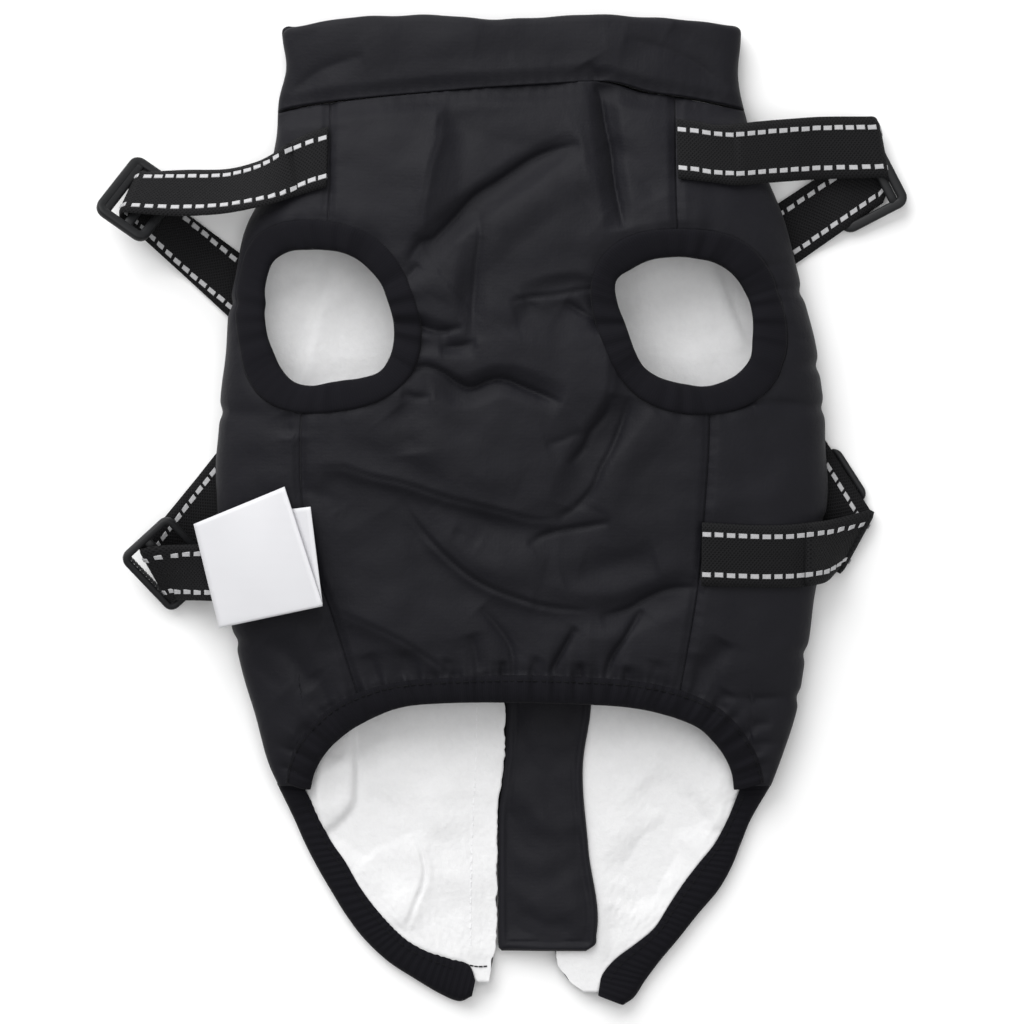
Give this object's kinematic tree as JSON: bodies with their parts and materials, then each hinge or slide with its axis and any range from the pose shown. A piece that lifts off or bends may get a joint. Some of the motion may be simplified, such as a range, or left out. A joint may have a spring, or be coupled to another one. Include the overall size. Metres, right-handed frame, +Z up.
{
  "type": "dog winter coat",
  "caption": "Padded, fleece-lined dog coat with a stand-up collar, ribbed leg openings, a gathered belly hem, back tails and webbing straps with sliders, laid flat belly side up.",
  "frame": {"origin": "centre of the bounding box, on the floor the coat lies on", "axes": "+X to the right of the laid coat, +Y towards the collar, +Z up out of the belly side"},
  "size_m": [0.2638, 0.3198, 0.0334],
  "materials": {
    "shell": "soft sheen, padded woven polyester",
    "rib": "matt elastic rib",
    "fleece": "napped white fleece",
    "webbing": "matt woven webbing",
    "tape": "matt zip tape",
    "plastic": "moulded, slightly grained",
    "label": "satin, blank"
  },
  "bodies": {
    "coat": {"collar_front": "shell", "collar_back_left": "shell", "collar_back_right": "shell", "chest_panel": "shell", "side_left": "shell", "side_right": "shell", "back_left": "shell", "back_right": "shell", "lining_left": "fleece", "lining_right": "fleece", "leg_band_left": "rib", "leg_band_right": "rib", "hem_binding_belly": "rib", "hem_binding_tail_left": "rib", "hem_binding_tail_right": "rib", "zip_guard": "shell", "zip_tape_left": "tape", "zip_tape_right": "tape", "zip_chain": "plastic", "zip_slider": "plastic", "strap_upper_left": "webbing", "strap_upper_right": "webbing", "strap_lower_left": "webbing", "strap_lower_right": "webbing", "slider_upper_left": "plastic", "slider_upper_right": "plastic", "slider_lower_left": "plastic", "slider_lower_right": "plastic", "care_label": "label"},
    "pull": {"zip_pull": "plastic"}
  },
  "joints": [
    {"name": "zip_pull_hinge", "type": "hinge", "parent": "coat", "child": "pull", "pos_m": [0.00825, 0.146, 0.00115], "axis": [1, 0, 0], "range_deg": [0, 170]}
  ]
}
